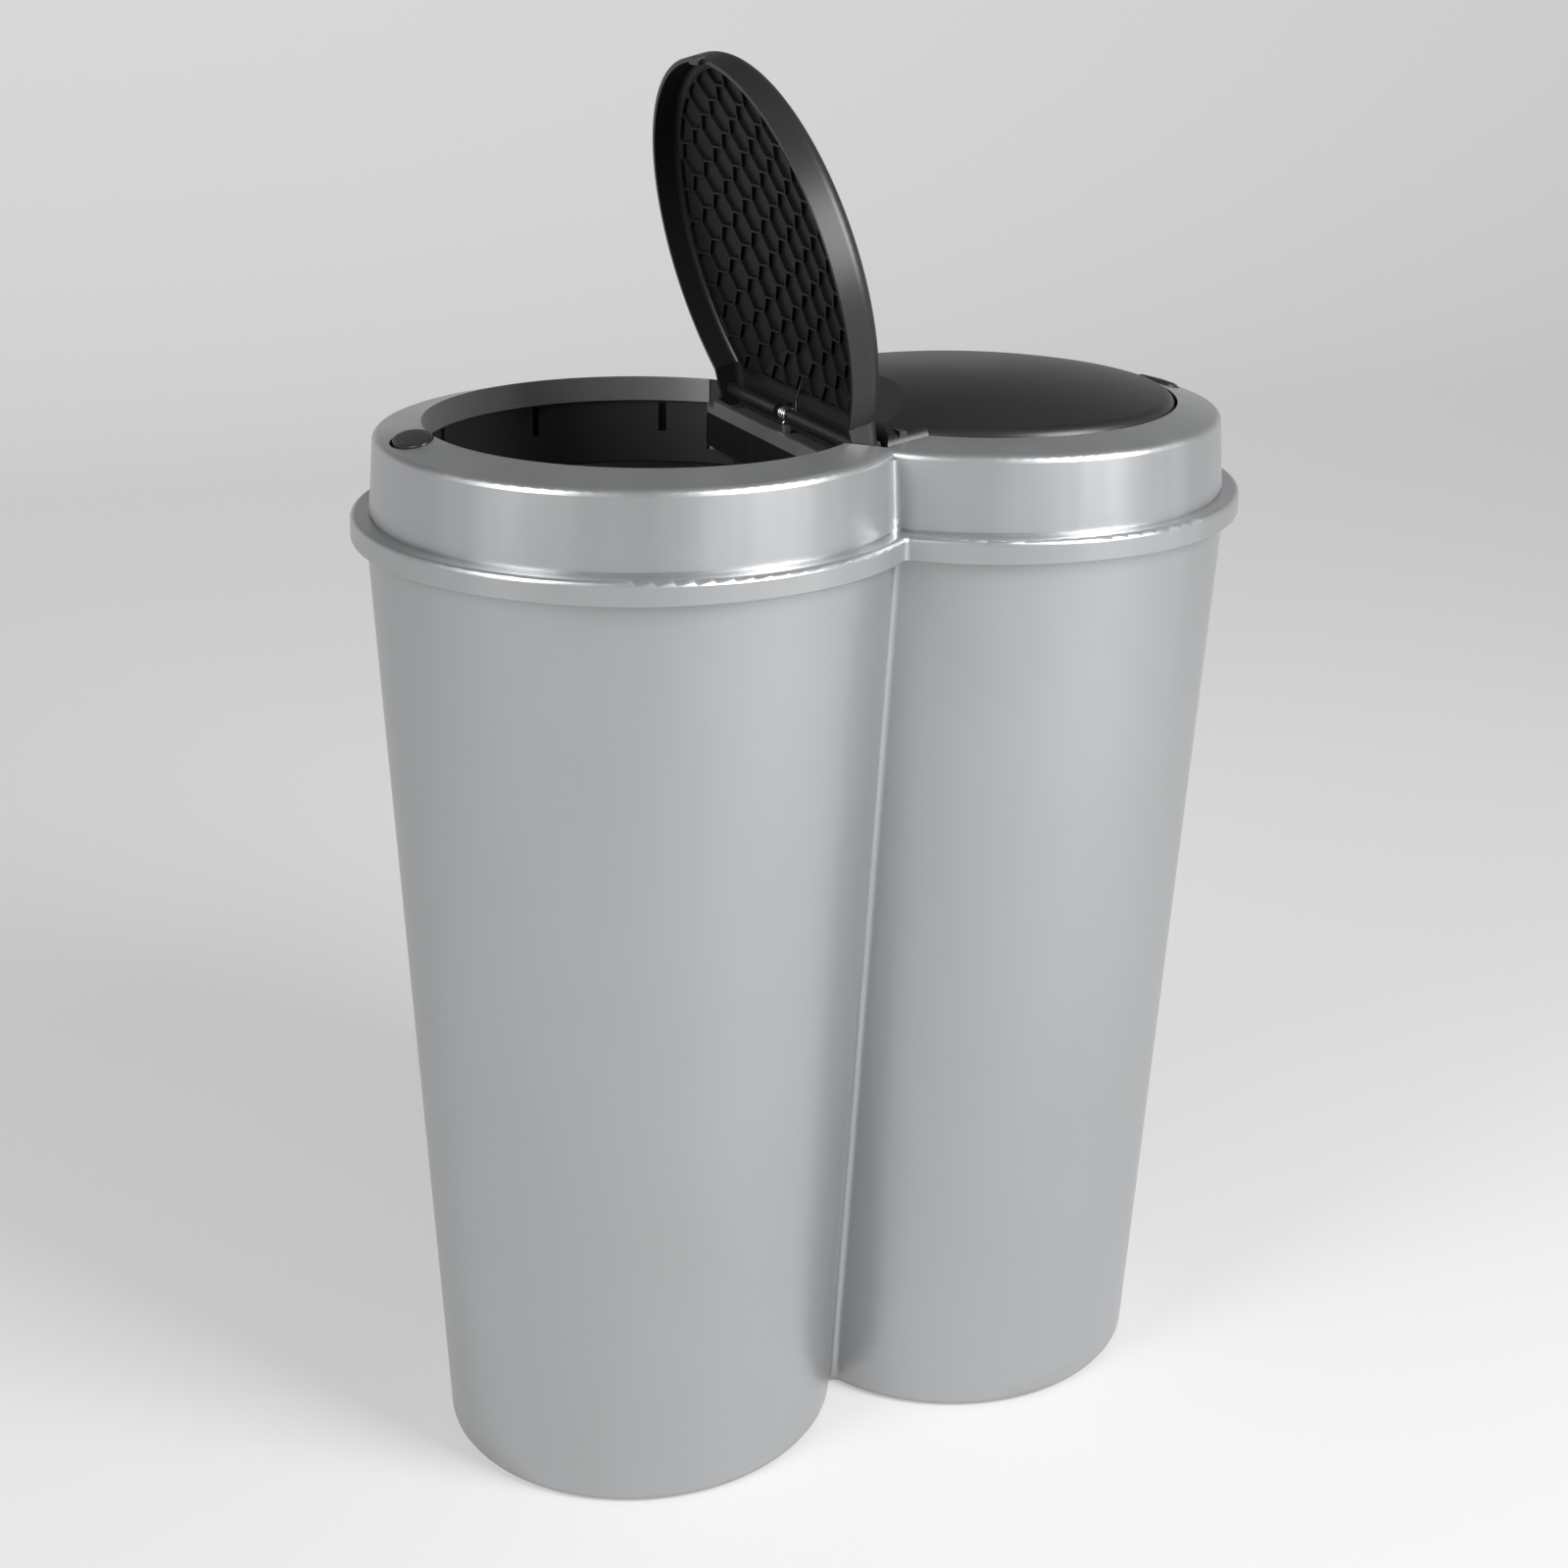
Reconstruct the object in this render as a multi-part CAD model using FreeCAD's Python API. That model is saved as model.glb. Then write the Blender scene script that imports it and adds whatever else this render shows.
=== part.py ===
"""Double recycling bin: two round tapered tubs fused side by side, one lift-off
lid frame, and two sprung flap lids with a rocker button each.

Millimetres.  X runs along the pair of tubs, -Y is the front, Z is up.  The
origin is at the middle of the base, on the floor.  The left lid stands open
and the right lid is shut.
"""
import FreeCAD, Part
import math
import os

os.makedirs("parts", exist_ok=True)

Vec = FreeCAD.Vector
ORIGIN = Vec(0, 0, 0)
ALONG_X = Vec(1, 0, 0)
ALONG_Y = Vec(0, 1, 0)

# ---------------------------------------------------------------- driving dimensions
# tub
TUB_X = 113.0            # each tub's axis, from the middle
BASE_R = 122.5           # tub radius on the floor
WALL_R = 161.0           # tub radius just under the rim band
BAND_R = 170.0           # rolled rim band
BAND_LOW = 583.0
BAND_TOP = 597.5
WALL = 2.6
FLOOR_T = 4.0
PARTITION_T = 2.8
PARTITION_TOP = 586.0
BASE_ROUND = 5.0
VALLEY_ROUND = 4.0       # fillet where the two round forms meet
BASE_RECESS_R = 92.0
BASE_RECESS = 1.5

# lid frame
SKIRT_LOW = 599.2
SKIRT_LOW_R = 159.0
SHOULDER_Z = 643.4
SHOULDER_R = 156.2
SHOULDER_ROUND = 4.5
RING_SLOPE = 14.0        # degrees, the ring's top falls outwards
SHELL = 2.6
MOUTH_X = 110.5          # each round mouth's axis
MOUTH_R = 130.5
LIP_LOW = 634.0
SHELF_LOW = 602.5        # shelf between the inner walls and the foot of the skirt
SHELF_TOP = 605.0
BRIDGE_HALF = 5.0        # the shelf's bridge over the partition
SEAT_Z = 591.0           # ledge in the tub that carries the frame
LEDGE_W = 2.5
SEAT_GAP = 0.3
SLOT_ANGLES = (-136.0, -100.0, -64.0, 64.0, 100.0, 136.0)   # from the bridge's side
SLOT_W = 5.0
SLOT_LOW = 613.0
SLOT_TOP = 632.0

# bag ring under each mouth
BAG_RING_LOW = 592.0
BAG_RING_T = 6.5
BAG_RING_GAP = 2.0       # between the bridge's edge and the ring's straight bar
BAG_RING_ROUND = 1.5
LINER_T = 2.6
LINER_GAP = 0.1          # kept free round the liner, so that it slips in
LINER_TOP = 638.0
NOTCH_LOW = 633.0        # the liner's rim is cut away beside the button

# hinge trough between the mouths
TROUGH_HALF = 27.3
TROUGH_WALL = 2.5
TROUGH_LOW = 627.2
TROUGH_FLOOR = 629.2
TROUGH_TOP = 636.0
POCKET_Y = 101.2         # the trough's end walls
EAR_Y_CLEAR = 93.0       # beyond this the trough's sides are cut down for the lids' ears
EAR_FLOOR = 631.0
BOSS_HALF = 7.0          # bosses behind the end walls, which hold the rods' ends
BOSS_LONG = 6.5
SPRING_STOP = (8.6, 12.0, 15.5, 20.5)    # rib that the lid spring's tail bears on
SPRING_STOP_TOP = 634.4

# lids
HINGE_X = 12.0
HINGE_Z = 642.7
OPEN_DEG = 75.2
LID_R = 129.0
LID_LOW = 634.1
LID_T = 2.6
DOME_TOP = 667.0
DOME_R = 607.5
EAR_Y = 99.0
ROLL_R = 11.0            # rolled edge round the hinge axis
ROLL_LOW = 644.0
LID_ROUND = 8.0
HOOK_X = (236.0, 240.0)  # hook under the lid's tip, where the latch catches
HOOK_LOW = 631.0
HOOK_TOP = 636.4
HOOK_HALF_Y = 6.5
BARREL_R = 4.5
BARRELS = ((-97.0, 3.0), (24.0, 97.0))
ROD_R = 2.0
ROD_HALF = 105.5
RUN_CLEARANCE = 0.08

# ribbed lining under each lid
LINING_R = 120.8
LINING_X = 24.0
LINING_SKIN = 1.5
RIB_H = 2.4
RIB_T = 1.5
CELL_PITCH = 21.3
LINING_GAP = 0.1
SMALLEST_CELL = 300.0    # mm3 of space; smaller ones are left solid

# lid spring
WIRE_R = 0.8
COIL_R = 4.0
COIL_PITCH = 2.4
COIL_TURNS = 4
COIL_Y = 8.0
LID_LEG_TIP = Vec(36.0, -3.0, 652.0)
TAIL_ANGLE = 215.0       # where the coil ends, seen from the front, degrees from +X
FRAME_LEG = 6.0

# button and latch
BUTTON_X = 251.3
BUTTON_HALF_X = 10.5
BUTTON_HALF_Y = 18.0
BUTTON_PROUD = 1.6
BUTTON_LOW = 643.5
BUTTON_ROUND = 1.2
BUTTON_HOLE_X = 251.8
BUTTON_HOLE_HALF_X = 11.9
BUTTON_HOLE_HALF_Y = 18.6
PIVOT_X = 251.3
PIVOT_Z = 632.0
PIVOT_R = 1.5
PIVOT_HALF = 12.0
LEVER_BOSS_R = 4.0
LEVER_PLATE_LOW = 640.5
NOSE_TIP_X = 240.9
RETURN_X = 258.2
RETURN_LOW = 626.0
RETURN_R = 2.2
RETURN_WIRE_R = 0.45
RETURN_TURNS = 6
RETURN_CLEAR = 0.25      # kept free at both ends of the return spring

INNER_R = WALL_R - WALL  # inside of the tub's rim, where the frame drops in
FAR = 400.0              # larger than the bin's half width
TALL = 700.0             # higher than the bin


# ---------------------------------------------------------------- small helpers
def box(x0, x1, y0, y1, z0, z1):
    """Box between two opposite corners."""
    return Part.makeBox(x1 - x0, y1 - y0, z1 - z0, Vec(x0, y0, z0))


def post(x, y, r, z0, z1):
    """Upright cylinder."""
    return Part.makeCylinder(r, z1 - z0, Vec(x, y, z0))


def rod(x, z, r, y0, y1):
    """Cylinder along Y."""
    return Part.makeCylinder(r, y1 - y0, Vec(x, y0, z), ALONG_Y)


def oval_post(x, half_x, half_y, z0, z1):
    """Upright post with an oval section, longer along Y."""
    oval = Part.Ellipse(Vec(x, half_y, z0), Vec(x - half_x, 0, z0), Vec(x, 0, z0))
    face = Part.Face(Part.Wire(oval.toShape()))
    return face.extrude(Vec(0, 0, z1 - z0))


def fuse(shapes):
    """All shapes as one, with the seams taken out."""
    first, rest = shapes[0], shapes[1:]
    return first.fuse(rest).removeSplitter() if rest else first


def mirrored(shape):
    """The left-hand twin of a right-hand shape."""
    return shape.mirror(ORIGIN, ALONG_X)


def twin_wire(cx, r, valley, z):
    """Outline of two circles side by side, with round valleys between them."""
    reach = r + valley
    valley_y = math.sqrt(reach ** 2 - cx ** 2)
    touch_x = cx * valley / reach
    touch_y = valley_y * r / reach
    low = valley_y - valley
    right = Part.Arc(Vec(touch_x, -touch_y, z), Vec(cx + r, 0, z), Vec(touch_x, touch_y, z))
    back = Part.Arc(Vec(touch_x, touch_y, z), Vec(0, low, z), Vec(-touch_x, touch_y, z))
    left = Part.Arc(Vec(-touch_x, touch_y, z), Vec(-cx - r, 0, z), Vec(-touch_x, -touch_y, z))
    front = Part.Arc(Vec(-touch_x, -touch_y, z), Vec(0, -low, z), Vec(touch_x, -touch_y, z))
    return Part.Wire([arc.toShape() for arc in (right, back, left, front)])


def twin_prism(r, valley, z0, z1):
    """Straight-sided solid on the twin outline."""
    return Part.Face(twin_wire(TUB_X, r, valley, z0)).extrude(Vec(0, 0, z1 - z0))


def twin_taper(r0, r1, valley, z0, z1):
    """Tapered solid on the twin outline."""
    wires = [twin_wire(TUB_X, r0, valley, z0), twin_wire(TUB_X, r1, valley, z1)]
    return Part.makeLoft(wires, True, True)


def edges_at(shape, test):
    """The edges whose middle passes a test."""
    return [e for e in shape.Edges if test(e.CenterOfMass, e)]


def arc_edge(start, tangent, end):
    """Arc from start, leaving along tangent, to end."""
    chord = end - start
    half = chord.Length / 2.0
    along = Vec(chord).normalize()
    side = tangent - along * tangent.dot(along)
    if side.Length < 1e-7:
        return Part.LineSegment(start, end).toShape()
    turn = tangent.getAngle(chord)
    middle = (start + end) * 0.5 + side.normalize() * half * math.tan(turn / 2.0)
    return Part.Arc(start, middle, end).toShape()


def biarc(p0, t0, p1, t1):
    """Two arcs that join p0 to p1 and leave both ends along their tangents."""
    span = p1 - p0
    both = t0 + t1
    a = 2.0 * (1.0 - t0.dot(t1))
    b = span.dot(both)
    reach = span.dot(span)
    d = reach / (2.0 * b) if a < 1e-9 else (-b + math.sqrt(b * b + a * reach)) / a
    join = (p0 + p1 + (t0 - t1) * d) * 0.5
    t_join = ((p1 - t1 * d) - (p0 + t0 * d)).normalize()
    return [arc_edge(p0, t0, join), arc_edge(join, t_join, p1)]


def coil_edges(point, turned):
    """About quarter turns of a coil as biarcs; point(angle) gives place and tangent."""
    edges = []
    steps = math.ceil(turned / (math.pi / 2) - 1e-6)
    for i in range(steps):
        p0, t0 = point(turned * i / steps)
        p1, t1 = point(turned * (i + 1) / steps)
        edges += biarc(p0, t0, p1, t1)
    return edges


def wire_tube(edges, radius):
    """Round wire along a smooth path."""
    path = Part.Wire(edges)
    start = edges[0].valueAt(edges[0].FirstParameter)
    heading = edges[0].tangentAt(edges[0].FirstParameter)
    section = Part.Wire(Part.Circle(start, heading, radius).toShape())
    return path.makePipeShell([section], True, False)


def least_gap(points, pitch_points, radius):
    """Smallest clear gap between a wire's own turns, measured on points."""
    best = 1e9
    for i, p in enumerate(points):
        for q in points[i + pitch_points:]:
            best = min(best, p.distanceToPoint(q))
    return best - 2 * radius


# ---------------------------------------------------------------- tub
def make_tub():
    """Twin tub with its partition, foot recesses and rolled rim band."""
    valley = VALLEY_ROUND
    body = twin_taper(BASE_R, WALL_R, valley, 0, BAND_LOW)
    rim = edges_at(body, lambda c, e: abs(c.z) < 0.01 and e.BoundBox.ZLength < 0.01)
    body = body.makeFillet(BASE_ROUND, rim)

    band = twin_prism(BAND_R, valley, BAND_LOW, BAND_TOP)
    top = edges_at(band, lambda c, e: abs(e.BoundBox.ZMin - BAND_TOP) < 0.01)
    band = band.makeFillet(3.2, top)
    low = edges_at(band, lambda c, e: abs(e.BoundBox.ZMax - BAND_LOW) < 0.01)
    band = band.makeFillet(1.2, low)
    under_out = twin_prism(BAND_R - WALL, valley + WALL, BAND_LOW - 1, BAND_TOP - WALL)
    under_in = twin_prism(WALL_R, valley, BAND_LOW - 1, BAND_TOP - WALL)
    band = band.cut(under_out.cut(under_in))
    tub = body.fuse(band)

    slope = (WALL_R - BASE_R) / BAND_LOW
    floor_r = BASE_R - WALL + slope * FLOOR_T
    top_r = INNER_R
    ledge_r = top_r - LEDGE_W
    for side in (-1, 1):
        hollow = Part.makeCone(floor_r, top_r, BAND_LOW - FLOOR_T, Vec(side * TUB_X, 0, FLOOR_T))
        near, far = sorted((side * PARTITION_T / 2, side * FAR))
        hollow = hollow.fuse(post(side * TUB_X, 0, ledge_r, BAND_LOW - 1, PARTITION_TOP))
        tub = tub.cut(hollow.common(box(near, far, -FAR, FAR, 0, TALL)))
        tub = tub.cut(post(side * TUB_X, 0, BASE_RECESS_R, -1, BASE_RECESS))
    tub = tub.cut(twin_prism(ledge_r, valley + LEDGE_W + WALL, PARTITION_TOP, SEAT_Z))
    tub = tub.cut(twin_prism(top_r, valley + WALL, SEAT_Z, TALL))
    return tub


# ---------------------------------------------------------------- lid frame
def roof(drop):
    """The two shallow cones that the ring's top follows, lowered by drop."""
    fall = math.tan(math.radians(RING_SLOPE))
    low = 500.0
    apex = SHOULDER_Z + SHOULDER_R * fall - drop
    cones = []
    for side in (-1, 1):
        cone = Part.makeCone((apex - low) / fall, 0, apex - low, Vec(side * TUB_X, 0, low))
        cone.rotate(Vec(side * TUB_X, 0, 0), Vec(0, 0, 1), 90)
        cones.append(cone)
    return cones[0].fuse(cones[1])


def skirt_radius(z):
    """Outer radius of the skirt at a height."""
    taper = (SKIRT_LOW_R - SHOULDER_R) / (SHOULDER_Z - SKIRT_LOW)
    return SKIRT_LOW_R - taper * (z - SKIRT_LOW)


def skirt_solid(inset, z0):
    """The frame's outer form from height z0, offset inwards by inset."""
    top = SHOULDER_Z + 40.0
    return twin_taper(skirt_radius(z0) - inset, skirt_radius(top) - inset,
                      VALLEY_ROUND + inset, z0, top)


def frame_form():
    """Two round forms with rounded shoulders, and a round valley where they meet."""
    halves = []
    for side in (-1, 1):
        top = SHOULDER_Z + 40.0
        cone = Part.makeCone(skirt_radius(SKIRT_LOW), skirt_radius(top), top - SKIRT_LOW,
                             Vec(side * TUB_X, 0, SKIRT_LOW))
        fall = math.tan(math.radians(RING_SLOPE))
        rise = SHOULDER_R * fall
        cap = Part.makeCone((rise + 100) / fall, 0, rise + 100,
                            Vec(side * TUB_X, 0, SHOULDER_Z - 100))
        form = cone.common(cap)
        edge = edges_at(form, lambda c, e: abs(c.z - SHOULDER_Z) < 0.01)
        form = form.makeFillet(SHOULDER_ROUND, edge)
        near, far = sorted((0, side * FAR))
        halves.append(form.common(box(near, far, -FAR, FAR, 0, TALL)))
    touch = TUB_X * VALLEY_ROUND / (SHOULDER_R + VALLEY_ROUND)
    strip = box(-touch, touch, -FAR, FAR, SKIRT_LOW, SHOULDER_Z - SHOULDER_ROUND)
    filler = skirt_solid(0, SKIRT_LOW).common(strip)
    return halves[0].fuse([halves[1], filler])


def cut_disc(side, grow, edge, z0, z1):
    """Disc round one mouth's axis, cut straight at a distance from the middle."""
    disc = post(side * MOUTH_X, 0, MOUTH_R + grow, z0, z1)
    near, far = sorted((side * edge, side * FAR))
    return disc.common(box(near, far, -FAR, FAR, z0, z1))


def make_shelf():
    """Flat shelf that closes the frame between the inner walls and its foot."""
    shelf = twin_prism(INNER_R - SEAT_GAP - 1, VALLEY_ROUND + WALL + SEAT_GAP + 1,
                       SHELF_LOW, SHELF_TOP)
    grow = SHELL + LINER_T + 3 * LINER_GAP
    return shelf.cut([cut_disc(side, grow, BRIDGE_HALF, 500, TALL) for side in (-1, 1)])


def make_bag_ring():
    """Black liner of the right mouth: a slotted wall over a D-shaped ring that grips the bag."""
    inner = SHELL + LINER_GAP
    edge = BRIDGE_HALF + BAG_RING_GAP
    ring = cut_disc(1, inner + BAG_RING_T, edge, BAG_RING_LOW, SHELF_LOW)
    ring = ring.cut(cut_disc(1, inner, edge + BAG_RING_T, BAG_RING_LOW - 1, SHELF_LOW + 1))
    low = edges_at(ring, lambda c, e: abs(c.z - BAG_RING_LOW) < 0.01)
    ring = ring.makeFillet(BAG_RING_ROUND, low)
    wall = cut_disc(1, inner + LINER_T, TROUGH_HALF, SHELF_LOW, LINER_TOP)
    wall = wall.cut(cut_disc(1, inner, TROUGH_HALF, SHELF_LOW - 1, LINER_TOP + 1))
    slots = []
    for angle in SLOT_ANGLES:
        slot = box(MOUTH_R - 10, MOUTH_R + 12, -SLOT_W / 2, SLOT_W / 2, SLOT_LOW, SLOT_TOP)
        slot.rotate(ORIGIN, Vec(0, 0, 1), 180 - angle)
        slot.translate(Vec(MOUTH_X, 0, 0))
        slots.append(slot)
    notch = box(MOUTH_X, FAR, -BUTTON_HOLE_HALF_Y, BUTTON_HOLE_HALF_Y, NOTCH_LOW, TALL)
    return ring.fuse(wall.cut(slots + [notch])).removeSplitter()


def make_lid_frame():
    """Skirt, sloped ring, lips, hinge trough and the button brackets, as one moulding."""
    half = TROUGH_HALF
    kept = [cut_disc(side, SHELL, half - 1, LIP_LOW, TALL) for side in (-1, 1)]
    kept.append(box(-half, half, -POCKET_Y - SHELL, POCKET_Y + SHELL, TROUGH_LOW, TALL))
    kept += [box(x - BOSS_HALF, x + BOSS_HALF, y, y + BOSS_LONG, TROUGH_LOW, TALL)
             for x in (-HINGE_X, HINGE_X) for y in (-POCKET_Y - BOSS_LONG, POCKET_Y)]
    inner = skirt_solid(SHELL, SKIRT_LOW - 1).common(roof(SHELL))
    frame = frame_form().cut(inner.cut(kept))

    foot_r = INNER_R - SEAT_GAP
    foot_valley = VALLEY_ROUND + WALL + SEAT_GAP
    foot = twin_prism(foot_r, foot_valley, SEAT_Z, SHELF_TOP)
    foot = foot.cut(twin_prism(foot_r - SHELL, foot_valley + SHELL, 500, TALL))
    frame = frame.fuse([foot, make_shelf()])

    for side in (-1, 1):
        frame = frame.cut(cut_disc(side, 0, half, LIP_LOW - 1, TALL))
    inside = half - TROUGH_WALL
    frame = frame.cut(box(-half, half, -EAR_Y_CLEAR, EAR_Y_CLEAR, TROUGH_TOP, TALL))
    for y0, y1 in ((-POCKET_Y, -EAR_Y_CLEAR), (EAR_Y_CLEAR, POCKET_Y)):
        frame = frame.cut(box(-half, half, y0, y1, EAR_FLOOR, TALL))
    frame = frame.cut(box(-inside, inside, -POCKET_Y, POCKET_Y, TROUGH_FLOOR, TALL))
    x0, x1, y0, y1 = SPRING_STOP
    stop = box(x0, x1, y0, y1, TROUGH_LOW, SPRING_STOP_TOP)
    frame = frame.fuse([stop, mirrored(stop)])
    for x in (-HINGE_X, HINGE_X):
        frame = frame.cut(rod(x, HINGE_Z, ROD_R, -ROD_HALF, ROD_HALF))

    for side in (-1, 1):
        hole = oval_post(BUTTON_HOLE_X, BUTTON_HOLE_HALF_X, BUTTON_HOLE_HALF_Y, LIP_LOW, TALL)
        mount = button_mount()
        if side < 0:
            hole, mount = mirrored(hole), mirrored(mount)
        frame = frame.cut(hole).fuse(mount)
    return frame.removeSplitter()


def button_mount():
    """Two ears for the right button's pin and a shelf for its spring."""
    out_x = SKIRT_LOW_R + TUB_X - SHELL - 0.5
    ears = [box(PIVOT_X - 4, out_x, y, y + 3, PIVOT_Z - 8, PIVOT_Z + 4)
            for y in (-PIVOT_HALF, PIVOT_HALF - 3)]
    shelf = box(RETURN_X - 4, out_x, -PIVOT_HALF, PIVOT_HALF, RETURN_LOW - 2, RETURN_LOW)
    mount = fuse(ears + [shelf])
    return mount.cut(rod(PIVOT_X, PIVOT_Z, PIVOT_R, -PIVOT_HALF - 1, PIVOT_HALF + 1))


# ---------------------------------------------------------------- lids, made shut, right hand
def below_plane(offset):
    """Everything under the lid's flat back slope, lowered by offset.

    The slope touches the rolled hinge edge and stands upright when the lid is open.
    """
    tilt = 90.0 - OPEN_DEG
    slab = Part.makeBox(3 * FAR, 2 * FAR, FAR, Vec(-FAR, -FAR, -FAR))
    slab.rotate(ORIGIN, ALONG_Y, -tilt)
    lean = math.radians(tilt)
    reach = ROLL_R - offset
    slab.translate(Vec(HINGE_X - reach * math.sin(lean), 0, HINGE_Z + reach * math.cos(lean)))
    return slab


def dome(offset):
    """The big sphere of the lid's top, offset inwards."""
    return Part.makeSphere(DOME_R - offset, Vec(MOUTH_X, 0, DOME_TOP - DOME_R))


def lid_solid(inset, low):
    """Lid form with straight ears, a rolled hinge edge and a rounded rim, offset inwards."""
    split = HINGE_X - ROLL_R * math.cos(math.radians(OPEN_DEG))
    ear_y = EAR_Y - inset
    rim_r = LID_R - inset
    plan = post(MOUTH_X, 0, rim_r, low, TALL)
    ears = box(split, MOUTH_X - 60, -ear_y, ear_y, low, TALL)
    main = plan.fuse(ears).common(box(split, FAR, -FAR, FAR, low, TALL))
    main = main.common(dome(inset)).common(below_plane(inset))
    roll = rod(HINGE_X, HINGE_Z, ROLL_R - inset, -ear_y, ear_y)
    roll = roll.common(box(HINGE_X - 20, split, -FAR, FAR, 0, TALL)).common(dome(inset))

    def on_rim(c, e):
        if e.BoundBox.ZLength > 30 or c.z < HINGE_Z + 4 or e.Length < 8:
            return False
        mid = e.valueAt((e.FirstParameter + e.LastParameter) / 2)
        on_circle = abs(math.hypot(mid.x - MOUTH_X, mid.y) - rim_r) < 0.05
        on_ear = abs(abs(mid.y) - ear_y) < 0.05 and mid.x > HINGE_X
        return on_circle or on_ear

    form = main.fuse(roll).removeSplitter()
    return form.makeFillet(LID_ROUND - inset, edges_at(form, on_rim))


def make_lid_shell():
    """Domed cover with its rim wall, hinge barrels and the hook at its tip."""
    outer = lid_solid(0, LID_LOW)
    cover = outer.cut(lid_solid(LID_T, LID_LOW - 20))
    below_roll = box(HINGE_X - 20, HINGE_X - ROLL_R * math.cos(math.radians(OPEN_DEG)),
                     -EAR_Y + LID_T, EAR_Y - LID_T, 0, ROLL_LOW)
    cover = cover.cut(below_roll)
    knuckles = []
    for y0, y1 in BARRELS:
        knuckles.append(rod(HINGE_X, HINGE_Z, BARREL_R, y0, y1))
        web = box(HINGE_X - 2.3, HINGE_X + 2.3, y0, y1, HINGE_Z, HINGE_Z + ROLL_R - LID_T / 2)
        knuckles.append(web)
    hook = box(HOOK_X[0], HOOK_X[1], -HOOK_HALF_Y, HOOK_HALF_Y, HOOK_LOW, HOOK_TOP)
    cover = cover.fuse(knuckles + [hook])
    return cover.cut(rod(HINGE_X, HINGE_Z, ROD_R + RUN_CLEARANCE, -FAR, FAR))


def lining_solid(side_inset, offset, low):
    """Round form of the lining, cut straight on the hinge side."""
    plan = post(MOUTH_X, 0, LINING_R - side_inset, low, TALL)
    plan = plan.common(box(LINING_X + side_inset, FAR, -FAR, FAR, low, TALL))
    return plan.common(dome(offset)).common(below_plane(offset))


def make_lid_lining():
    """Thin domed lining with a honeycomb of ribs on its underside."""
    top = LID_T + LINING_GAP
    base = 600.0
    layer = lining_solid(0, top, base).cut(lining_solid(-5, top + LINING_SKIN + RIB_H, base - 1))
    inside = lining_solid(1.6, top + LINING_SKIN, base)
    row = CELL_PITCH * math.sqrt(3) / 2
    corner = (CELL_PITCH - RIB_T) / math.sqrt(3)
    cells = []
    reach = int(LINING_R / row) + 1
    for column in range(-reach, reach + 1):
        shift = CELL_PITCH / 2 if column % 2 else 0.0
        for step in range(-reach, reach + 1):
            x = MOUTH_X + step * CELL_PITCH + shift
            y = column * row
            if math.hypot(x - MOUTH_X, y) > LINING_R + 4 or x < LINING_X - 4:
                continue
            corners = [Vec(x + corner * math.cos(math.radians(60 * k + 30)),
                           y + corner * math.sin(math.radians(60 * k + 30)), base)
                       for k in range(7)]
            cells.append(Part.Face(Part.makePolygon(corners)).extrude(Vec(0, 0, 90)))
    pockets = [inside.common(cell) for cell in cells]
    return layer.cut([pocket for pocket in pockets if pocket.Volume > SMALLEST_CELL])


def make_hinge_rod():
    """Steel rod through one lid's barrels, pressed into the frame."""
    bar = rod(HINGE_X, HINGE_Z, ROD_R, -ROD_HALF, ROD_HALF)
    return bar.makeChamfer(0.4, [e for e in bar.Edges if e.BoundBox.YLength < 0.01])


def make_lid_spring(lid_turn):
    """Torsion spring on the rod: one leg under the lid, one leg down in the trough.

    lid_turn is how far the lid stands open, in degrees: a shut lid winds the coil up more.
    """
    centre_z = HINGE_Z
    tip = LID_LEG_TIP
    away = math.hypot(tip.x - HINGE_X, tip.z - centre_z)
    lift = math.atan2(tip.z - centre_z, tip.x - HINGE_X)
    start = lift + math.acos(COIL_R / away)

    def point(turned):
        angle = start + turned
        place = Vec(HINGE_X + COIL_R * math.cos(angle), COIL_Y + COIL_PITCH * turned / (2 * math.pi),
                    centre_z + COIL_R * math.sin(angle))
        tangent = Vec(-COIL_R * math.sin(angle), COIL_PITCH / (2 * math.pi),
                      COIL_R * math.cos(angle)).normalize()
        return place, tangent

    first, t_first = point(0)
    turned = 2 * math.pi * COIL_TURNS + math.radians(TAIL_ANGLE - lid_turn) - start
    last, t_last = point(turned)
    leg = (tip - first).Length
    bend = first - t_first * (leg * 0.35)
    lid_leg_end = Vec(tip)
    aim = (bend - lid_leg_end).normalize()
    near = bend + (lid_leg_end - bend).normalize() * 4.0
    before = bend + t_first * 4.0
    edges = [Part.LineSegment(lid_leg_end, near).toShape()]
    edges += biarc(near, aim, before, t_first)
    edges.append(Part.LineSegment(before, first).toShape())
    edges += coil_edges(point, turned)
    edges.append(Part.LineSegment(last, last + t_last * FRAME_LEG).toShape())
    sampled = [point(2 * math.pi * i / 24)[0] for i in range(24 * COIL_TURNS + 1)]
    print("lid spring, least gap between turns %.2f mm" % least_gap(sampled, 18, WIRE_R))
    return wire_tube(edges, WIRE_R)


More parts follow.
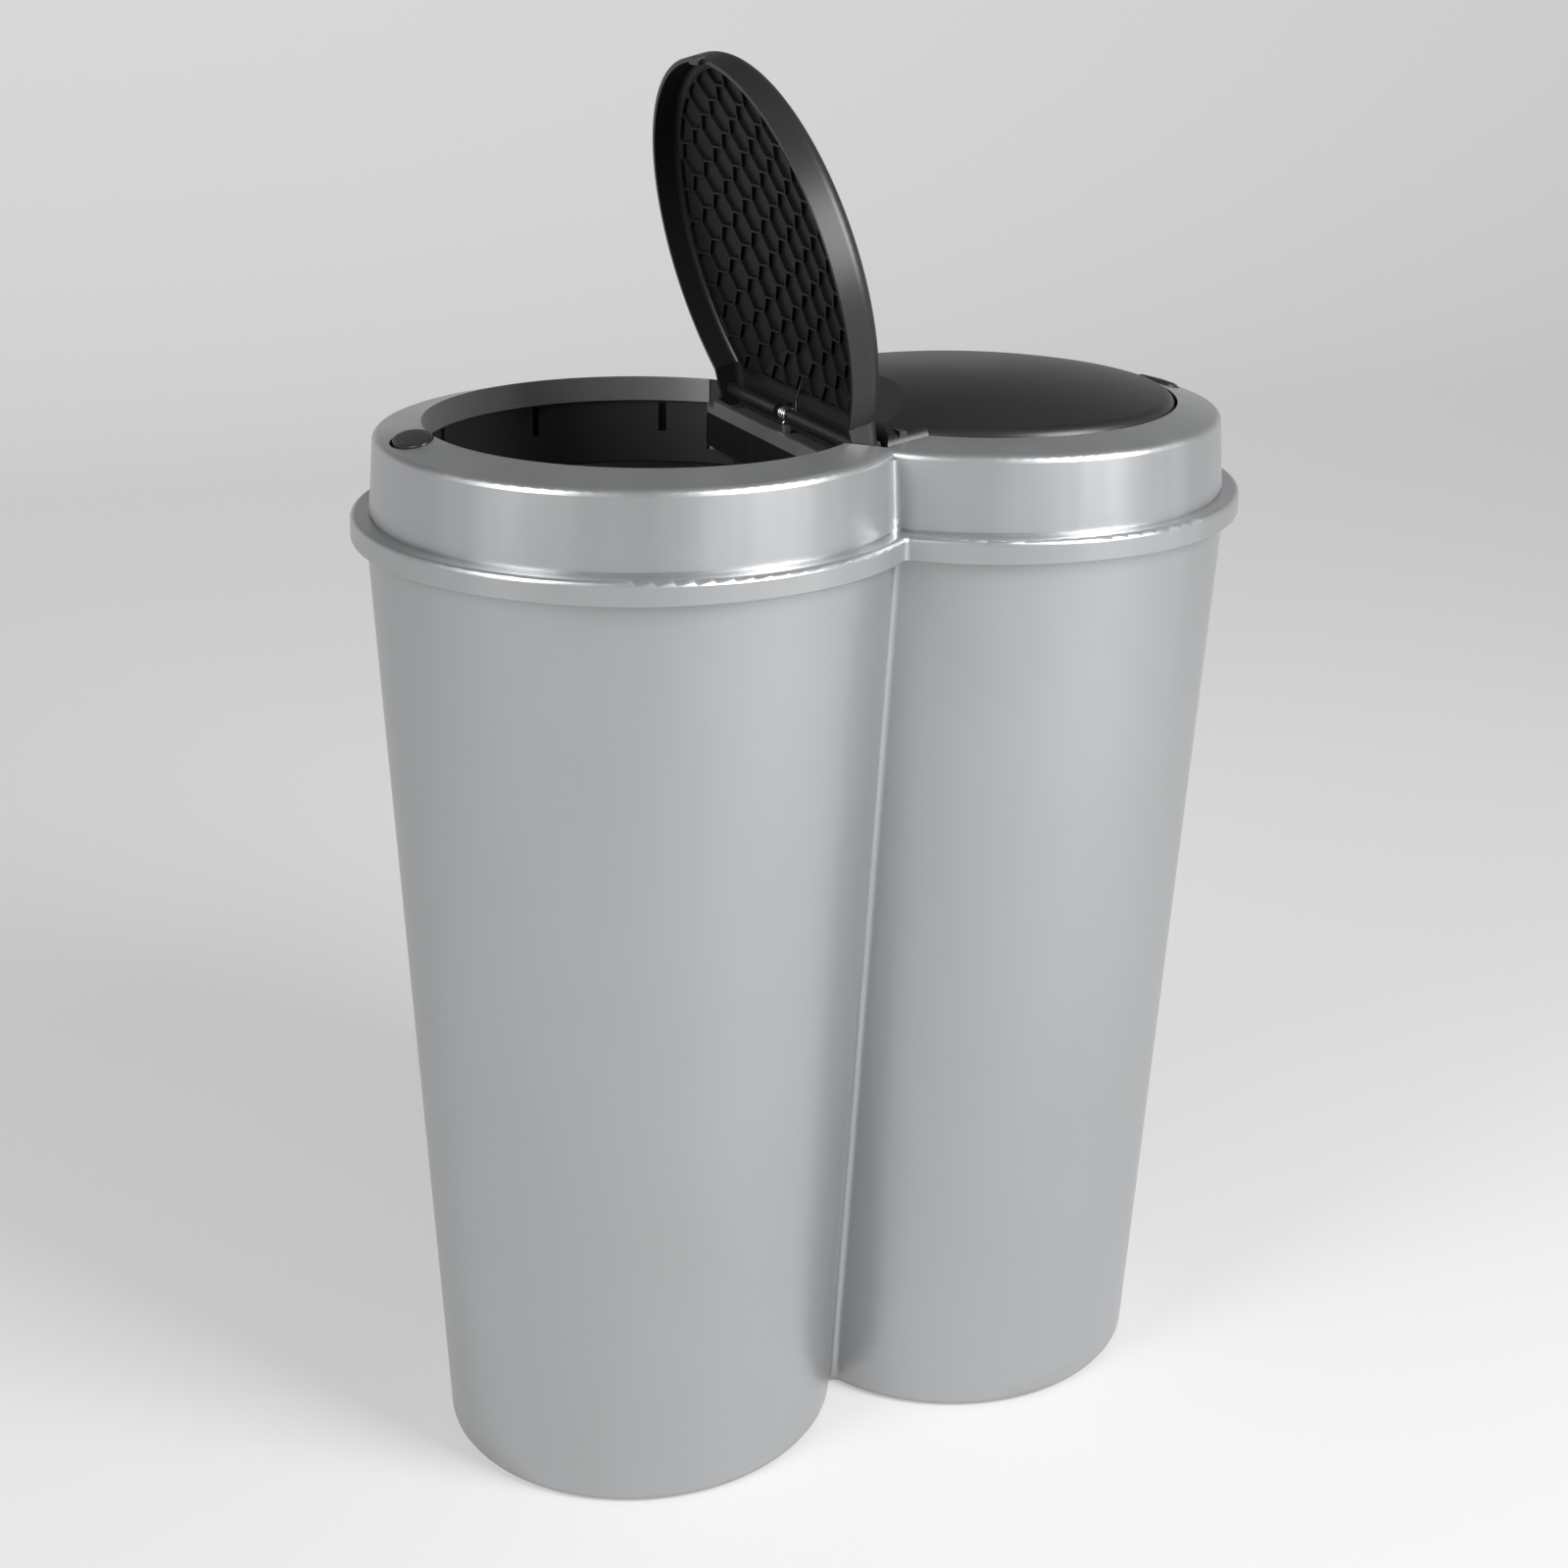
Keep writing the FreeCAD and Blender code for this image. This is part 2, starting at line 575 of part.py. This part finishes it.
def make_button_spring():
    """Compression spring under the outer half of the button."""
    low = RETURN_LOW + RETURN_WIRE_R + RETURN_CLEAR
    high = LEVER_PLATE_LOW - RETURN_WIRE_R - RETURN_CLEAR
    rise = (high - low) / RETURN_TURNS

    def point(turned):
        place = Vec(RETURN_X + RETURN_R * math.cos(turned), RETURN_R * math.sin(turned),
                    low + rise * turned / (2 * math.pi))
        tangent = Vec(-RETURN_R * math.sin(turned), RETURN_R * math.cos(turned),
                      rise / (2 * math.pi)).normalize()
        return place, tangent

    sampled = [point(2 * math.pi * i / 24)[0] for i in range(24 * RETURN_TURNS + 1)]
    print("button spring, least gap between turns %.2f mm" % least_gap(sampled, 18, RETURN_WIRE_R))
    return wire_tube(coil_edges(point, 2 * math.pi * RETURN_TURNS), RETURN_WIRE_R)


# ---------------------------------------------------------------- button, right hand
def make_button():
    """Oval button cap, its top following the ring's slope."""
    cap = oval_post(BUTTON_X, BUTTON_HALF_X, BUTTON_HALF_Y, BUTTON_LOW, TALL)
    cap = cap.common(roof(-BUTTON_PROUD))
    top = edges_at(cap, lambda c, e: c.z > BUTTON_LOW + 1 and e.Length > 10)
    return cap.makeFillet(BUTTON_ROUND, top)


def make_lever():
    """Latch lever under the cap: plate, stem, pivot boss and the latch nose."""
    plate = oval_post(BUTTON_X, BUTTON_HALF_X - 1.5, BUTTON_HALF_Y - 3, LEVER_PLATE_LOW, BUTTON_LOW)
    stem = box(PIVOT_X - 4, PIVOT_X + 1.5, -8.6, 8.6, PIVOT_Z, LEVER_PLATE_LOW)
    boss = rod(PIVOT_X, PIVOT_Z, LEVER_BOSS_R, -8.6, 8.6)
    nose_side = Part.makePolygon([Vec(PIVOT_X - 4, -6, 637), Vec(NOSE_TIP_X, -6, 637),
                                  Vec(NOSE_TIP_X, -6, 638), Vec(NOSE_TIP_X + 2.5, -6, 640.5),
                                  Vec(PIVOT_X - 4, -6, 640.5), Vec(PIVOT_X - 4, -6, 637)])
    nose = Part.Face(nose_side).extrude(Vec(0, 12, 0))
    lever = fuse([plate, stem, boss, nose])
    return lever.cut(rod(PIVOT_X, PIVOT_Z, PIVOT_R + RUN_CLEARANCE, -FAR, FAR))


def make_button_pin():
    """Pivot pin of the button's lever."""
    return rod(PIVOT_X, PIVOT_Z, PIVOT_R, -PIVOT_HALF, PIVOT_HALF)


# ---------------------------------------------------------------- the whole bin
def opened(shape):
    """A left lid piece turned up about its hinge to its open stop."""
    turned = shape.copy()
    turned.rotate(Vec(-HINGE_X, 0, HINGE_Z), ALONG_Y, OPEN_DEG)
    return turned


def write(name, shape):
    """One step file per piece, with its size printed."""
    b = shape.BoundBox
    print("%-22s solids %d  valid %s  %.1f cm3  z %.1f..%.1f" % (
        name, len(shape.Solids), shape.isValid(), shape.Volume / 1000, b.ZMin, b.ZMax))
    shape.exportStep("parts/%s.step" % name)


def main():
    write("tub", make_tub())
    write("lid_frame", make_lid_frame())
    swings = {"lid_shell": make_lid_shell(), "lid_lining": make_lid_lining()}
    fixed = {"bag_ring": make_bag_ring(), "hinge_rod": make_hinge_rod(), "button": make_button(),
             "latch_lever": make_lever(), "button_pin": make_button_pin(),
             "button_spring": make_button_spring()}
    for name, shape in swings.items():
        write(name + "_right", shape)
        write(name + "_left", opened(mirrored(shape)))
    write("lid_spring_right", make_lid_spring(0))
    write("lid_spring_left", opened(mirrored(make_lid_spring(OPEN_DEG))))
    for name, shape in fixed.items():
        write(name + "_right", shape)
        write(name + "_left", mirrored(shape))


main()
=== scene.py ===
# %% [markdown]
# # A double recycling bin
#
# Two round tapered tubs are moulded as one piece, a lid frame drops into their
# rim, and a sprung flap lid closes each mouth.  Every working piece comes from
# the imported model, already at its real size, so this lesson is about finish:
# which plastic each piece is, how its moulded skin takes the light, and the few
# small forms that only matter to the eye.

# %% Load the model
import math

import bpy
from mathutils import Euler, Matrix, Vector


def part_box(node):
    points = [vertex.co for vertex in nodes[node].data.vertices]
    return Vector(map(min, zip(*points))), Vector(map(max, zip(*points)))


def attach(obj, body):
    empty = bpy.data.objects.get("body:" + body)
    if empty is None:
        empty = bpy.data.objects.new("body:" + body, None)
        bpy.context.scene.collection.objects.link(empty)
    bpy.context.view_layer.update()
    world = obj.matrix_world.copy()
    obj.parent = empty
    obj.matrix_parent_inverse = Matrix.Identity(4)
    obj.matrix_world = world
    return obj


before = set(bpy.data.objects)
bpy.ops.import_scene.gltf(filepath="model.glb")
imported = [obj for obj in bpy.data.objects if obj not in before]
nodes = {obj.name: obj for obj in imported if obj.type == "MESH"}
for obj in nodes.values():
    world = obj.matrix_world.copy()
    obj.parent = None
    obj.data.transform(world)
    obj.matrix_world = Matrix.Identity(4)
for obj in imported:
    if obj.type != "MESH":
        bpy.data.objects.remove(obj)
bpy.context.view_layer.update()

# %% [markdown]
# ## Shader maths as plain expressions
#
# A procedural finish is arithmetic on positions: noise, masks and blends.  Wiring
# Math nodes by hand is slow to read, so one small class wraps a socket and lets
# sums and products be written as Python.  Any other node comes from one method.

# %% A value that builds its own nodes
class Value:
    """One output socket, with the arithmetic that the finishes below use."""

    def __init__(self, finish, socket):
        self.finish = finish
        self.socket = socket

    def math(self, operation, other):
        return self.finish.node("ShaderNodeMath", {"operation": operation}, {0: self, 1: other})

    def __add__(self, other):
        return self.math("ADD", other)

    def __mul__(self, other):
        return self.math("MULTIPLY", other)


class Finish:
    """A material's node tree, with one method that adds any node."""

    def __init__(self, name):
        self.material = bpy.data.materials.new(name)
        self.material.use_nodes = True
        self.tree = self.material.node_tree
        self.tree.nodes.clear()
        self.place = self.node("ShaderNodeTexCoord", output="Object")

    def node(self, kind, settings=None, inputs=None, output=0):
        made = self.tree.nodes.new(kind)
        for key, value in (settings or {}).items():
            setattr(made, key, value)
        for key, value in (inputs or {}).items():
            if isinstance(value, Value):
                self.tree.links.new(value.socket, made.inputs[key])
            else:
                made.inputs[key].default_value = value
        return Value(self, made.outputs[output]) if len(made.outputs) else made

    def noise(self, scale, detail, where=None):
        inputs = {"Vector": where or self.place, "Scale": scale, "Detail": detail}
        return self.node("ShaderNodeTexNoise", inputs=inputs)

    def blend(self, amount, low, high):
        settings = {"data_type": "RGBA"}
        return self.node("ShaderNodeMix", settings, {0: amount, 6: low, 7: high}, output=2)

    def band(self, value, low, high, out_low=0.0, out_high=1.0):
        inputs = {0: value, 1: low, 2: high, 3: out_low, 4: out_high}
        return self.node("ShaderNodeMapRange", inputs=inputs)

    def bump(self, height, strength, distance):
        inputs = {"Height": height, "Strength": strength, "Distance": distance}
        return self.node("ShaderNodeBump", inputs=inputs)

    def surface(self, color, roughness, normal=None, **fixed):
        inputs = {"Base Color": color, "Roughness": roughness}
        if normal is not None:
            inputs["Normal"] = normal
        inputs.update({key.replace("_", " "): value for key, value in fixed.items()})
        shader = self.node("ShaderNodeBsdfPrincipled", inputs=inputs)
        self.node("ShaderNodeOutputMaterial", inputs={"Surface": shader})
        return self.material


def grey(level, warm=0.0):
    """A near-neutral colour, a little warm or cool."""
    return (level * (1 + warm), level, level * (1 - warm), 1.0)


def tinted(level, tint):
    """A grey level times a tint, which has one factor for each colour."""
    return (*[level * factor for factor in tint], 1.0)


# %% [markdown]
# ## The silver moulding
#
# The tub and the frame are one plastic with metal flake stirred into it.  The
# flake lies nearly flat in the skin and makes it behave mostly like metal: faces
# turned to the lamps shine and faces turned away go dull.  A part-metallic
# surface with a broad highlight gives that.  Flow marks run down from the rim as
# faint upright streaks, a spark-eroded grain breaks up the highlight, and just
# above the floor the skin has brownish scuffs.

# %% Silver plastic
SILVER = 0.43
FLAKE = 0.78
SILVER_ROUGH = 0.36
SILVER_ROUGH_SWING = 0.05
DULL_TINT = (0.955, 0.975, 0.99)
CLEAR_TINT = (1.0, 1.02, 1.045)
CLOUD_SCALE = 7.0
STREAK_SCALE = 26.0
STREAK_STRETCH = (1.0, 1.0, 0.06)
CLOUD_SHARE = 0.6
STREAK_SHARE = 0.4
MOTTLE_LOW = 0.35
MOTTLE_HIGH = 0.65
NOISE_LOW = 0.3
NOISE_HIGH = 0.7
GRAIN_SCALE = 1300.0
GRAIN_DETAIL = 2.0
GRAIN_DEPTH = 0.0002
SILVER_GRAIN = 0.10
SCUFF_TOP = 0.016
SCUFF_SCALE = 11.0
SCUFF_FROM = 0.54
SCUFF_FULL = 0.68
SCUFF_STRENGTH = 0.55
SCUFF_BROWN = (0.20, 0.15, 0.11, 1.0)


def moulded_silver():
    f = Finish("silver_moulding")
    cloud = f.noise(CLOUD_SCALE, detail=3.0)
    upright = f.node("ShaderNodeMapping", inputs={"Vector": f.place, "Scale": STREAK_STRETCH})
    streak = f.noise(STREAK_SCALE, detail=5.0, where=upright)
    grain = f.noise(GRAIN_SCALE, GRAIN_DETAIL)
    mottle = f.band(cloud * CLOUD_SHARE + streak * STREAK_SHARE, MOTTLE_LOW, MOTTLE_HIGH)
    skin = f.blend(mottle, tinted(SILVER, DULL_TINT), tinted(SILVER, CLEAR_TINT))
    height = f.node("ShaderNodeSeparateXYZ", inputs={0: f.place}, output=2)
    near_floor = f.band(height, 0.0, SCUFF_TOP, 1.0, 0.0)
    patches = f.band(f.noise(SCUFF_SCALE, detail=6.0), SCUFF_FROM, SCUFF_FULL, 0.0, SCUFF_STRENGTH)
    color = f.blend(near_floor * patches, skin, SCUFF_BROWN)
    smoothest = SILVER_ROUGH - SILVER_ROUGH_SWING
    roughest = SILVER_ROUGH + SILVER_ROUGH_SWING
    roughness = f.band(streak, NOISE_LOW, NOISE_HIGH, smoothest, roughest)
    normal = f.bump(grain, SILVER_GRAIN, GRAIN_DEPTH)
    return f.surface(color, roughness, normal, Metallic=FLAKE)


silver = moulded_silver()
print("silver plastic:", silver.name)

# %% [markdown]
# ## Dark covers, black parts and steel
#
# The lids and buttons are charcoal with a soft satin sheen, the linings and
# levers are plain black, and the mouths' liners are a little paler and glossier.
# One recipe serves all three, with other numbers.  The rods, pins and springs
# are drawn steel, which is metal all through and only slightly scratched.

# %% Charcoal, black and steel
DARK_SPREAD = 0.15
DARK_ROUGH_SWING = 0.04
DARK_GRAIN = 0.15
SCRATCH_SCALE = 260.0
STEEL_DARK = 0.42
STEEL_PALE = 0.6
STEEL_SMOOTH = 0.22
STEEL_ROUGH = 0.38


def dark_moulding(name, level, rough, gloss, warm=0.0):
    """A dark plastic: its grey level, roughness and how strongly its skin mirrors."""
    f = Finish(name)
    cloud = f.noise(CLOUD_SCALE, detail=4.0)
    grain = f.noise(GRAIN_SCALE, GRAIN_DETAIL)
    amount = f.band(cloud, NOISE_LOW, NOISE_HIGH)
    darker = grey(level * (1 - DARK_SPREAD), warm)
    paler = grey(level * (1 + DARK_SPREAD), warm)
    smoothest = rough - DARK_ROUGH_SWING
    roughest = rough + DARK_ROUGH_SWING
    roughness = f.band(cloud, NOISE_LOW, NOISE_HIGH, smoothest, roughest)
    normal = f.bump(grain, DARK_GRAIN, GRAIN_DEPTH)
    return f.surface(f.blend(amount, darker, paler), roughness, normal, Specular_IOR_Level=gloss)


def drawn_steel():
    f = Finish("drawn_steel")
    scratch = f.noise(SCRATCH_SCALE, detail=5.0)
    color = f.blend(scratch, grey(STEEL_DARK), grey(STEEL_PALE))
    roughness = f.band(scratch, NOISE_LOW, NOISE_HIGH, STEEL_SMOOTH, STEEL_ROUGH)
    return f.surface(color, roughness, Metallic=1.0)


lid_charcoal = dark_moulding("charcoal_lid", level=0.014, rough=0.40, gloss=0.42, warm=0.02)
inside_black = dark_moulding("black_moulding", level=0.007, rough=0.55, gloss=0.22)
liner_black = dark_moulding("liner_moulding", level=0.017, rough=0.46, gloss=0.50)
steel = drawn_steel()
print("dark finishes and steel:", [m.name for m in (lid_charcoal, inside_black, liner_black, steel)])

# %% [markdown]
# ## Which piece has which finish
#
# Left and right pieces share a finish, so the side is cut off a node's name
# before its finish is looked up.

# %% Give every node its finish
FINISHES = {
    "tub": silver,
    "lid_frame": silver,
    "bag_ring": liner_black,
    "hinge_rod": steel,
    "lid_shell": lid_charcoal,
    "lid_lining": inside_black,
    "lid_spring": steel,
    "button": lid_charcoal,
    "latch_lever": inside_black,
    "button_pin": steel,
    "button_spring": steel,
}
for name, piece in nodes.items():
    kind = name.removesuffix("_left").removesuffix("_right")
    piece.data.materials.clear()
    piece.data.materials.append(FINISHES[kind])
bpy.ops.object.select_all(action="DESELECT")
print(len(nodes), "nodes have one of", len(set(FINISHES.values())), "finishes")

# %% [markdown]
# ## Grip on the buttons
#
# A fingertip slides on plain plastic, so each oval button has fine ribs along
# its length.  They are too small for the working model.  Each rib starts as a
# thin bar, is cut across into short lengths so that it can bend, and its points
# are then dropped on the button's sloping top.  A small bevel catches the light.

# %% Ribs for both buttons
RIB_PITCH = 0.0017
RIB_WIDTH = 0.0008
RIB_HEIGHT = 0.0004
RIB_SINK = 0.0003
RIB_CUTS = 8
RIB_MARGIN = 0.0020
RIB_BEVEL = 0.0002
DROP_FROM = 1.0


def select_edges(piece, test):
    """Leave exactly the edges selected whose two ends pass a test, in edit mode."""
    bpy.ops.object.mode_set(mode="EDIT")
    bpy.ops.mesh.select_mode(type="EDGE")
    bpy.ops.mesh.select_all(action="DESELECT")
    bpy.ops.object.mode_set(mode="OBJECT")
    for edge in piece.data.edges:
        a, b = [piece.data.vertices[i].co for i in edge.vertices]
        edge.select = test(a, b)
    bpy.ops.object.mode_set(mode="EDIT")


def grip_rib(button, x, reach, level):
    """One bar along Y on the button's top, reach metres either side of its middle."""
    bpy.ops.mesh.primitive_cube_add(size=1.0, location=(x, 0, level))
    bar = bpy.context.object
    bar.scale = (RIB_WIDTH, 2 * reach, RIB_HEIGHT)
    bpy.ops.object.transform_apply(location=True, rotation=True, scale=True)
    select_edges(bar, lambda a, b: abs(a.y - b.y) > reach)
    bpy.ops.mesh.subdivide(number_cuts=RIB_CUTS)
    bpy.ops.object.mode_set(mode="OBJECT")
    for point in bar.data.vertices:
        above = Vector((point.co.x, point.co.y, level + DROP_FROM))
        hit, place, _, _ = button.ray_cast(above, Vector((0, 0, -1)))
        lift = RIB_HEIGHT if point.co.z > level else -RIB_SINK
        point.co.z = (place.z if hit else level) + lift
    bevel = bar.modifiers.new("soft_edges", "BEVEL")
    bevel.width = RIB_BEVEL
    bevel.segments = 2
    bpy.ops.object.modifier_apply(modifier=bevel.name)
    return bar


def grip_ribs(side):
    """All ribs of one button, joined."""
    button = nodes["button_" + side]
    low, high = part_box("button_" + side)
    middle_x = (low[0] + high[0]) / 2
    half_x = (high[0] - low[0]) / 2 - RIB_MARGIN
    half_y = (high[1] - low[1]) / 2 - RIB_MARGIN
    count = int(half_x / RIB_PITCH)
    bars = []
    for i in range(-count, count + 1):
        reach = half_y * math.sqrt(max(0.0, 1 - (i * RIB_PITCH / half_x) ** 2))
        if reach > 2 * RIB_WIDTH:
            bars.append(grip_rib(button, middle_x + i * RIB_PITCH, reach, high[2]))
    bpy.ops.object.select_all(action="DESELECT")
    for bar in bars:
        bar.select_set(True)
    bpy.context.view_layer.objects.active = bars[0]
    bpy.ops.object.join()
    bpy.ops.object.transform_apply(location=True, rotation=True, scale=True)
    ribs = bpy.context.object
    ribs.name = "grip_ribs_" + side
    ribs.data.materials.append(lid_charcoal)
    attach(ribs, side + "_button")
    return ribs


for side in ("left", "right"):
    print(grip_ribs(side).name, "made")

# %% [markdown]
# ## Painted shade under the hinges
#
# Beside the hinges each mouth is cut straight, and a flat black sheet hides
# the inside of the frame.  It is painted shade: it makes that inside dark, as
# it lies in shadow.  It stands on the frame's shelf, under the edge of the
# hinge trough.  A thin upright plate is cut across into panels, and every
# other panel is pressed in a little.

# %% One painted shade sheet for each mouth
CURTAIN_X = 0.0262
CURTAIN_T = 0.0016
CURTAIN_LOW = 0.6051
CURTAIN_TOP = 0.6271
CURTAIN_HALF_Y = 0.1030
CURTAIN_PANELS = 9
PANEL_EDGE = 0.0015
PANEL_PRESS = 0.0005
SQUARE_ON = 0.9


def shade_sheet(side, sign):
    """Flat black sheet below the trough's edge on one side, as painted shade."""
    middle = (CURTAIN_LOW + CURTAIN_TOP) / 2
    bpy.ops.object.select_all(action="DESELECT")
    bpy.ops.mesh.primitive_cube_add(size=1.0, location=(sign * CURTAIN_X, 0, middle))
    wall = bpy.context.object
    wall.name = "painted_shade_" + side
    wall.scale = (CURTAIN_T, 2 * CURTAIN_HALF_Y, CURTAIN_TOP - CURTAIN_LOW)
    bpy.ops.object.transform_apply(location=True, rotation=True, scale=True)
    select_edges(wall, lambda a, b: abs(a.y - b.y) > CURTAIN_HALF_Y)
    bpy.ops.mesh.subdivide(number_cuts=CURTAIN_PANELS - 1)
    bpy.ops.mesh.select_mode(type="FACE")
    bpy.ops.mesh.select_all(action="DESELECT")
    bpy.ops.object.mode_set(mode="OBJECT")
    panel = 2 * CURTAIN_HALF_Y / CURTAIN_PANELS
    for face in wall.data.polygons:
        column = int((face.center.y + CURTAIN_HALF_Y) / panel)
        face.select = face.normal.x * sign > SQUARE_ON and column % 2 == 1
    bpy.ops.object.mode_set(mode="EDIT")
    bpy.ops.mesh.inset(thickness=PANEL_EDGE, depth=-PANEL_PRESS, use_individual=True)
    bpy.ops.object.mode_set(mode="OBJECT")
    # The black sheet is painted shade for the inside of the frame, not a part's own colour.
    wall.data.materials.append(inside_black)
    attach(wall, "lid_frame")
    return wall


for side, sign in (("left", -1), ("right", 1)):
    print(shade_sheet(side, sign).name, "has", CURTAIN_PANELS, "panels")

# %% [markdown]
# ## Floor and backdrop
#
# The floor is a big pale sheet that curves up behind the bin, so that the camera
# sees no horizon line.  A glow, stronger to the back, lifts its grey to a pale
# one.  Only the camera and shiny surfaces see the glow: dull ones get no light
# from it, and the silver mirrors it.

# %% A pale sweep
FLOOR_FRONT = -4.0
FLOOR_BACK = 2.6
FLOOR_HALF = 7.0
FLOOR_DROP = 0.0004
SWEEP_R = 1.2
SWEEP_TOP = 1.6
SWEEP_STEPS = 24
EDGE_REACH = 0.01
FLOOR_GREY = 0.33
FLOOR_ROUGH = 0.9
FLOOR_GLOW = 0.36
WALL_GLOW = 0.50
GLOW_FROM = -1.0

floor_finish = Finish("pale_floor")
path = floor_finish.tree.nodes.new("ShaderNodeLightPath")
to_camera = Value(floor_finish, path.outputs["Is Camera Ray"])
to_mirror = Value(floor_finish, path.outputs["Is Glossy Ray"])
seen = to_camera + to_mirror
depth = floor_finish.node("ShaderNodeSeparateXYZ", inputs={0: floor_finish.place}, output=1)
far = floor_finish.band(depth, GLOW_FROM, FLOOR_BACK + SWEEP_R)
glow = floor_finish.blend(seen * far, grey(0.0), grey(WALL_GLOW - FLOOR_GLOW))
glow = floor_finish.node("ShaderNodeMix", {"data_type": "RGBA", "blend_type": "ADD"},
                         {0: seen, 6: glow, 7: grey(FLOOR_GLOW)}, output=2)
floor_finish.surface(grey(FLOOR_GREY), FLOOR_ROUGH, Emission_Color=glow, Emission_Strength=1.0)
bpy.ops.mesh.primitive_plane_add(size=2.0, location=(0, 0, 0))
floor = bpy.context.object
floor.name = "floor"
floor.scale = (FLOOR_HALF, (FLOOR_BACK - FLOOR_FRONT) / 2, 1)
floor.location = (0, (FLOOR_BACK + FLOOR_FRONT) / 2, -FLOOR_DROP)
bpy.ops.object.transform_apply(location=True, rotation=True, scale=True)
select_edges(floor, lambda a, b: min(a.y, b.y) > FLOOR_BACK - EDGE_REACH)
bpy.ops.mesh.spin(steps=SWEEP_STEPS, angle=-math.pi / 2, center=(0, FLOOR_BACK, SWEEP_R), axis=(1, 0, 0))
bpy.ops.mesh.extrude_region_move(TRANSFORM_OT_translate={"value": (0, 0, SWEEP_TOP - SWEEP_R)})
bpy.ops.object.mode_set(mode="OBJECT")
bpy.ops.object.shade_smooth()
floor.data.materials.append(floor_finish.material)
print("floor and wall reach", [round(v, 2) for v in floor.dimensions])

# %% [markdown]
# ## Camera
#
# The photograph was taken from the front left, a little above the lids.  Its
# optical axis is off the middle of the frame, so the camera has a shift.  Angles
# are in radians; the focal length and the axis are in pixels of the picture, and
# the sensor is in millimetres.

# %% The photograph's view
CAMERA_PLACE = Vector((-0.6196, -1.3079, 0.9499))
YAW = 0.48824
PITCH = 0.24768
ROLL = 0.02826
FOCAL = 2449.6
AXIS_X = 937.57
AXIS_Y = 521.98
PICTURE = 1600.0
SENSOR = 36.0

bpy.ops.object.camera_add(location=CAMERA_PLACE)
camera = bpy.context.object
camera.rotation_mode = "QUATERNION"
look = Vector((math.sin(YAW) * math.cos(PITCH), math.cos(YAW) * math.cos(PITCH), -math.sin(PITCH)))
level = look.to_track_quat("-Z", "Y")
camera.rotation_quaternion = level @ Euler((0, 0, ROLL)).to_quaternion()
camera.data.sensor_fit = "HORIZONTAL"
camera.data.sensor_width = SENSOR
camera.data.lens = FOCAL / PICTURE * SENSOR
camera.data.shift_x = (PICTURE / 2 - AXIS_X) / PICTURE
camera.data.shift_y = (AXIS_Y - PICTURE / 2) / PICTURE
bpy.context.scene.camera = camera
print("lens %.1f mm" % camera.data.lens)

# %% [markdown]
# ## Light
#
# Silver plastic shows its room.  Two upright soft boxes stand in front, one well
# to the left and a stronger one to the right, so each round tub carries broad
# highlights with a duller stretch between them.

# %% Studio lamps
LAMP_TARGET = Vector((0, 0, 0.45))


def soft_box(name, azimuth, elevation, distance, width, height, power):
    """A soft box aimed at the tubs' upper walls; azimuth runs from the front towards +X."""
    turn = math.radians(azimuth)
    lift = math.radians(elevation)
    away = Vector((math.sin(turn) * math.cos(lift), -math.cos(turn) * math.cos(lift), math.sin(lift)))
    bpy.ops.object.light_add(type="AREA", location=LAMP_TARGET + away * distance)
    lamp = bpy.context.object
    lamp.name = name
    lamp.data.shape = "RECTANGLE"
    lamp.data.size = width
    lamp.data.size_y = height
    lamp.data.energy = power
    lamp.rotation_euler = (-away).to_track_quat("-Z", "Y").to_euler()
    return lamp


left_box = soft_box("left_box", azimuth=-72, elevation=28, distance=2.4, width=0.9, height=1.5, power=42.0)
right_box = soft_box("right_box", azimuth=32, elevation=30, distance=2.4, width=1.0, height=1.5, power=100.0)
print("lamps:", [(lamp.name, lamp.data.energy) for lamp in (left_box, right_box)])

# %% [markdown]
# ## The room
#
# The world is palest at the horizon and darkens overhead, which is why the flat
# ring looks darker than the walls below it.  Up is Z of the direction looked in,
# from 0 at the horizon to 1 overhead.

# %% A world that darkens upwards
HORIZON = 0.40
OVERHEAD = 0.06
FADE_FROM = 0.05
FADE_TO = 0.60

world = bpy.data.worlds.new("studio")
bpy.context.scene.world = world
world.use_nodes = True
sky = world.node_tree
aim = sky.nodes.new("ShaderNodeTexCoord")
split = sky.nodes.new("ShaderNodeSeparateXYZ")
fade = sky.nodes.new("ShaderNodeMapRange")
fade.inputs["From Min"].default_value = FADE_FROM
fade.inputs["From Max"].default_value = FADE_TO
fade.inputs["To Min"].default_value = HORIZON
fade.inputs["To Max"].default_value = OVERHEAD
sky.links.new(aim.outputs["Generated"], split.inputs[0])
sky.links.new(split.outputs["Z"], fade.inputs["Value"])
sky.links.new(fade.outputs["Result"], sky.nodes["Background"].inputs["Strength"])
sky.nodes["Background"].inputs["Color"].default_value = grey(1.0)
bpy.context.scene.view_settings.view_transform = "Standard"
print("world:", world.name, "from", HORIZON, "to", OVERHEAD)
